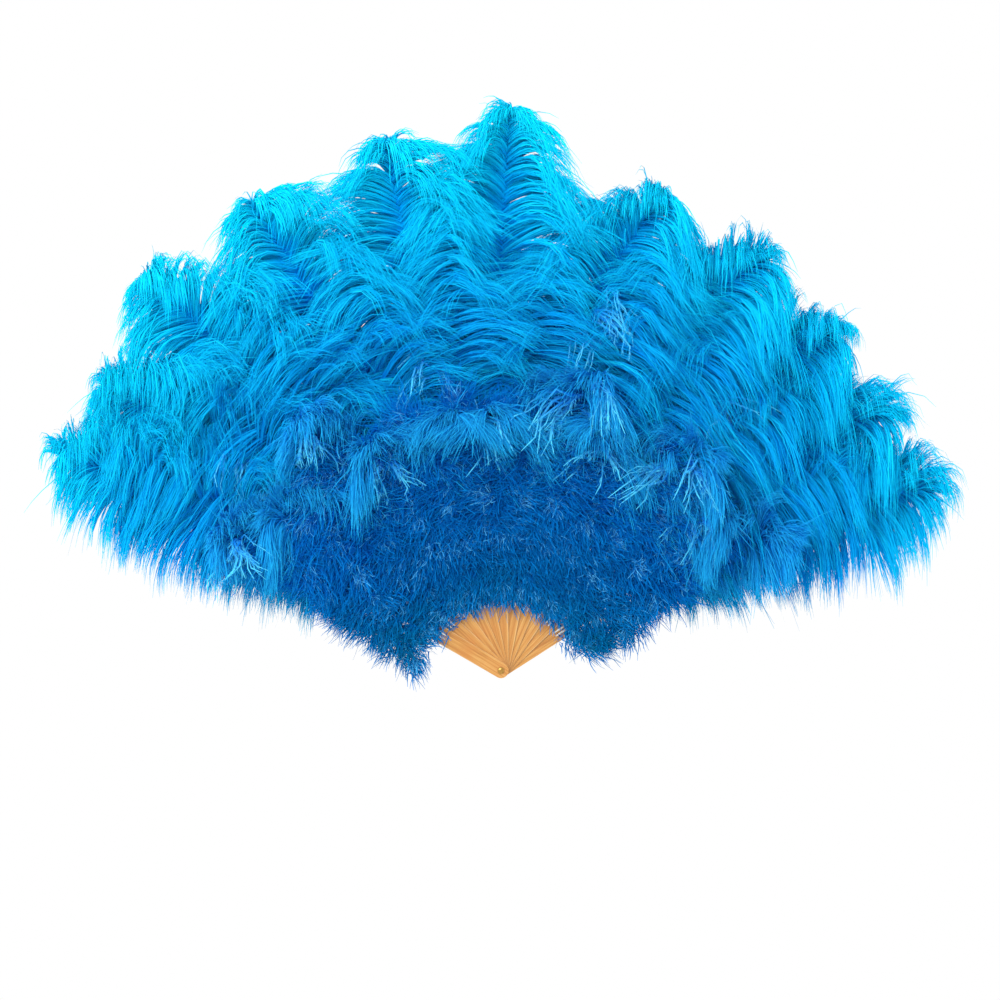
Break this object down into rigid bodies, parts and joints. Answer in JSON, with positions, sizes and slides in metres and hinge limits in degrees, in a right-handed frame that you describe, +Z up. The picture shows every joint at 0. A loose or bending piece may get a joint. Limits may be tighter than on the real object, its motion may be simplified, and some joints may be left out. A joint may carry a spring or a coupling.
{
  "type": "feather fan",
  "caption": "Large folding fan of ostrich plumes and marabou down on thin bamboo staves that turn on one rivet, held open.",
  "frame": {"origin": "on the rivet's axis, midway through the stack of staves, where the hand holds the fan", "axes": "+X to the right of the open fan, +Y away from the viewer, +Z up along the middle stave; the front is -Y"},
  "size_m": [1.5064, 0.2122, 0.9444],
  "materials": {
    "bamboo": "satin",
    "rivet_brass": "satin",
    "long_plume": "matte",
    "short_plume": "matte",
    "marabou": "matte",
    "link_ribbon": "satin"
  },
  "bodies": {
    "front_guard": {"front_guard": "bamboo", "long_plume_01": "long_plume", "short_plume_01": "short_plume", "marabou_01": "marabou", "link_ribbon_01": "link_ribbon", "rivet_pin": "rivet_brass", "front_washer": "rivet_brass", "rear_washer": "rivet_brass"},
    "stave_02": {"stave_02": "bamboo", "long_plume_02": "long_plume", "short_plume_02": "short_plume", "marabou_02": "marabou", "link_ribbon_02": "link_ribbon"},
    "stave_03": {"stave_03": "bamboo", "long_plume_03": "long_plume", "short_plume_03": "short_plume", "marabou_03": "marabou", "link_ribbon_03": "link_ribbon"},
    "stave_04": {"stave_04": "bamboo", "long_plume_04": "long_plume", "short_plume_04": "short_plume", "marabou_04": "marabou", "link_ribbon_04": "link_ribbon"},
    "stave_05": {"stave_05": "bamboo", "long_plume_05": "long_plume", "short_plume_05": "short_plume", "marabou_05": "marabou", "link_ribbon_05": "link_ribbon"},
    "stave_06": {"stave_06": "bamboo", "long_plume_06": "long_plume", "short_plume_06": "short_plume", "marabou_06": "marabou", "link_ribbon_06": "link_ribbon"},
    "stave_07": {"stave_07": "bamboo", "long_plume_07": "long_plume", "short_plume_07": "short_plume", "marabou_07": "marabou", "link_ribbon_07": "link_ribbon"},
    "stave_08": {"stave_08": "bamboo", "long_plume_08": "long_plume", "short_plume_08": "short_plume", "marabou_08": "marabou", "link_ribbon_08": "link_ribbon"},
    "stave_09": {"stave_09": "bamboo", "long_plume_09": "long_plume", "short_plume_09": "short_plume", "marabou_09": "marabou", "link_ribbon_09": "link_ribbon"},
    "stave_10": {"stave_10": "bamboo", "long_plume_10": "long_plume", "short_plume_10": "short_plume", "marabou_10": "marabou", "link_ribbon_10": "link_ribbon"},
    "rear_guard": {"rear_guard": "bamboo", "long_plume_11": "long_plume", "short_plume_11": "short_plume", "marabou_11": "marabou"}
  },
  "joints": [
    {"name": "stave_02_pivot", "type": "hinge", "parent": "front_guard", "child": "stave_02", "pos_m": [0, 0, 0], "axis": [0, -1, 0], "range_deg": [0, 11.6], "deforming": ["link_ribbon_01"]},
    {"name": "stave_03_pivot", "type": "hinge", "parent": "front_guard", "child": "stave_03", "pos_m": [0, 0, 0], "axis": [0, -1, 0], "range_deg": [0, 23.2], "deforming": ["link_ribbon_02"]},
    {"name": "stave_04_pivot", "type": "hinge", "parent": "front_guard", "child": "stave_04", "pos_m": [0, 0, 0], "axis": [0, -1, 0], "range_deg": [0, 34.8], "deforming": ["link_ribbon_03"]},
    {"name": "stave_05_pivot", "type": "hinge", "parent": "front_guard", "child": "stave_05", "pos_m": [0, 0, 0], "axis": [0, -1, 0], "range_deg": [0, 46.4], "deforming": ["link_ribbon_04"]},
    {"name": "stave_06_pivot", "type": "hinge", "parent": "front_guard", "child": "stave_06", "pos_m": [0, 0, 0], "axis": [0, -1, 0], "range_deg": [0, 58], "deforming": ["link_ribbon_05"]},
    {"name": "stave_07_pivot", "type": "hinge", "parent": "front_guard", "child": "stave_07", "pos_m": [0, 0, 0], "axis": [0, -1, 0], "range_deg": [0, 69.6], "deforming": ["link_ribbon_06"]},
    {"name": "stave_08_pivot", "type": "hinge", "parent": "front_guard", "child": "stave_08", "pos_m": [0, 0, 0], "axis": [0, -1, 0], "range_deg": [0, 81.2], "deforming": ["link_ribbon_07"]},
    {"name": "stave_09_pivot", "type": "hinge", "parent": "front_guard", "child": "stave_09", "pos_m": [0, 0, 0], "axis": [0, -1, 0], "range_deg": [0, 92.8], "deforming": ["link_ribbon_08"]},
    {"name": "stave_10_pivot", "type": "hinge", "parent": "front_guard", "child": "stave_10", "pos_m": [0, 0, 0], "axis": [0, -1, 0], "range_deg": [0, 104.4], "deforming": ["link_ribbon_09"]},
    {"name": "rear_guard_pivot", "type": "hinge", "parent": "front_guard", "child": "rear_guard", "pos_m": [0, 0, 0], "axis": [0, -1, 0], "range_deg": [0, 116], "deforming": ["link_ribbon_10"]}
  ],
  "couplings": [
    {"joint": "stave_02_pivot", "follows": "rear_guard_pivot", "ratio": 0.1},
    {"joint": "stave_03_pivot", "follows": "rear_guard_pivot", "ratio": 0.2},
    {"joint": "stave_04_pivot", "follows": "rear_guard_pivot", "ratio": 0.3},
    {"joint": "stave_05_pivot", "follows": "rear_guard_pivot", "ratio": 0.4},
    {"joint": "stave_06_pivot", "follows": "rear_guard_pivot", "ratio": 0.5},
    {"joint": "stave_07_pivot", "follows": "rear_guard_pivot", "ratio": 0.6},
    {"joint": "stave_08_pivot", "follows": "rear_guard_pivot", "ratio": 0.7},
    {"joint": "stave_09_pivot", "follows": "rear_guard_pivot", "ratio": 0.8},
    {"joint": "stave_10_pivot", "follows": "rear_guard_pivot", "ratio": 0.9}
  ]
}
